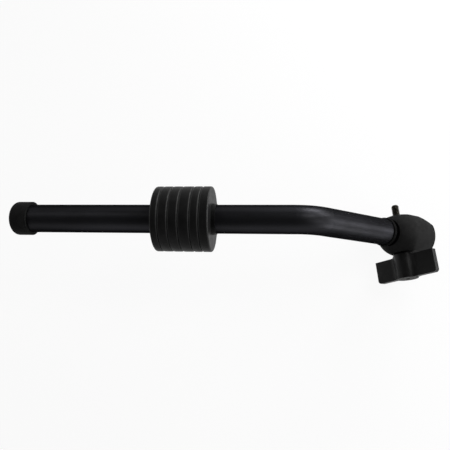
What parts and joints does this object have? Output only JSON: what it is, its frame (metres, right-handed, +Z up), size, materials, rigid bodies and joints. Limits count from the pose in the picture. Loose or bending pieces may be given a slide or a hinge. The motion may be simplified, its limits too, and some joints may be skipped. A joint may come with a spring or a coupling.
{
  "type": "stabilizer arm",
  "caption": "Bent tubular stabilizer arm with an end cap, a sliding stack of weight discs and a ball-shaped clamp head whose toothed seat and stud are tightened by a wing knob.",
  "frame": {"origin": "centre of the toothed seat on the clamp head, where the stud leaves it", "axes": "+X along the straight arm from the capped end toward the bend, +Z up and away from the side the bend turns to, +Y to the side the stud points"},
  "size_m": [0.3438, 0.0685, 0.1242],
  "materials": {
    "tube_paint": "satin black paint",
    "cap_rubber": "matte black rubber",
    "weight_paint": "semi-matte black paint",
    "sleeve_plastic": "black plastic",
    "dark_steel": "blackened steel",
    "head_paint": "fine textured dark grey paint",
    "bush_steel": "plain steel",
    "seat_metal": "black metal",
    "bolt_steel": "dark plated steel",
    "seal_rubber": "matte black rubber",
    "washer_plastic": "black plastic",
    "knob_plastic": "fine textured black plastic",
    "knob_cap_plastic": "satin dark grey plastic"
  },
  "bodies": {
    "arm": {"arm_tube": "tube_paint", "end_cap": "cap_rubber", "clamp_head": "head_paint", "mouth_seal": "seal_rubber", "tube_collar": "washer_plastic", "cross_bush": "bush_steel", "toothed_seat": "seat_metal"},
    "weight": {"weight_disc_1": "weight_paint", "weight_disc_2": "weight_paint", "weight_disc_3": "weight_paint", "weight_disc_4": "weight_paint", "weight_disc_5": "weight_paint", "weight_disc_6": "weight_paint", "weight_sleeve": "sleeve_plastic", "weight_grub_screw": "dark_steel"},
    "washer": {"thrust_washer": "washer_plastic"},
    "clamp_screw": {"clamp_bolt": "bolt_steel", "bolt_ring": "dark_steel", "wing_knob": "knob_plastic", "knob_cap": "knob_cap_plastic"}
  },
  "joints": [
    {"name": "weight_slide", "type": "slide", "parent": "arm", "child": "weight", "axis": [1, 0, 0], "range_m": [-0.098, 0.055]},
    {"name": "bolt_draw", "type": "slide", "parent": "arm", "child": "washer", "axis": [0.1139, -0.9854, 0.1265], "range_m": [0, 0.0055]},
    {"name": "knob_turn", "type": "hinge", "parent": "washer", "child": "clamp_screw", "pos_m": [0, 0, 0], "axis": [-0.1139, 0.9854, -0.1265], "continuous": true}
  ]
}
